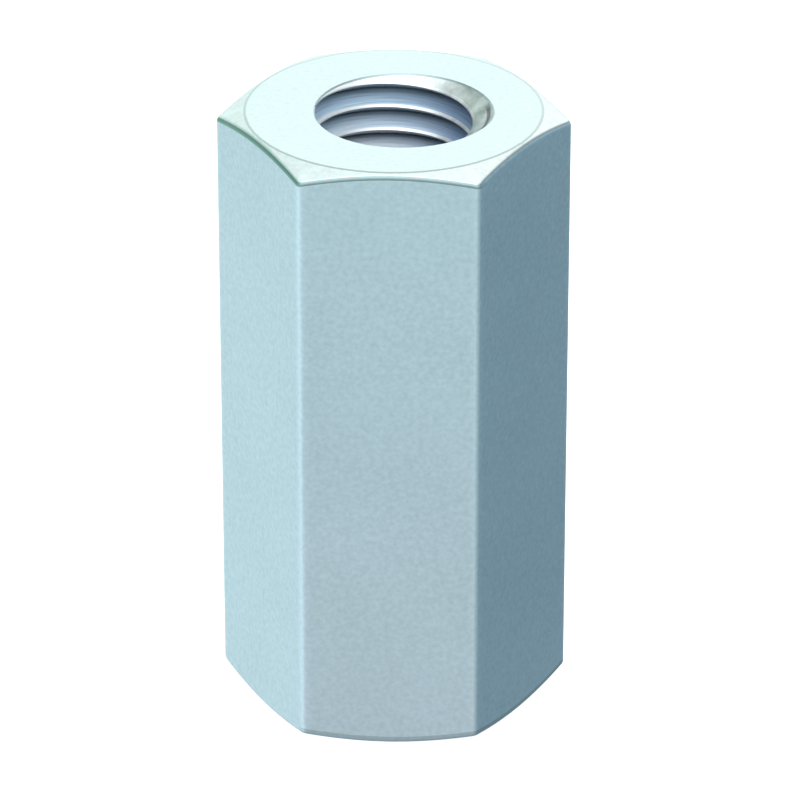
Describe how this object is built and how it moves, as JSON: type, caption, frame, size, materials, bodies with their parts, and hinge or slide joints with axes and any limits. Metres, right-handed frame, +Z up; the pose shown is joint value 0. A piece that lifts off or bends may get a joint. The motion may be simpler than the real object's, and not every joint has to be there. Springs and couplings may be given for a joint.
{
  "type": "coupling nut",
  "caption": "Long hexagonal coupling nut, chamfered at both ends and threaded right through, that joins threaded rods end to end.",
  "frame": {"origin": "centre of the lower end face, on the axis of the threaded bore", "axes": "+Z up along the bore from the lower end face to the upper one; +Y square to one flat; +X through one corner"},
  "size_m": [0.0276, 0.024, 0.05],
  "materials": {
    "zinc_plated_steel": "bright blue-white zinc plating on plain steel, satin on the flats"
  },
  "bodies": {
    "root": {"coupling_nut": "zinc_plated_steel"}
  },
  "joints": []
}
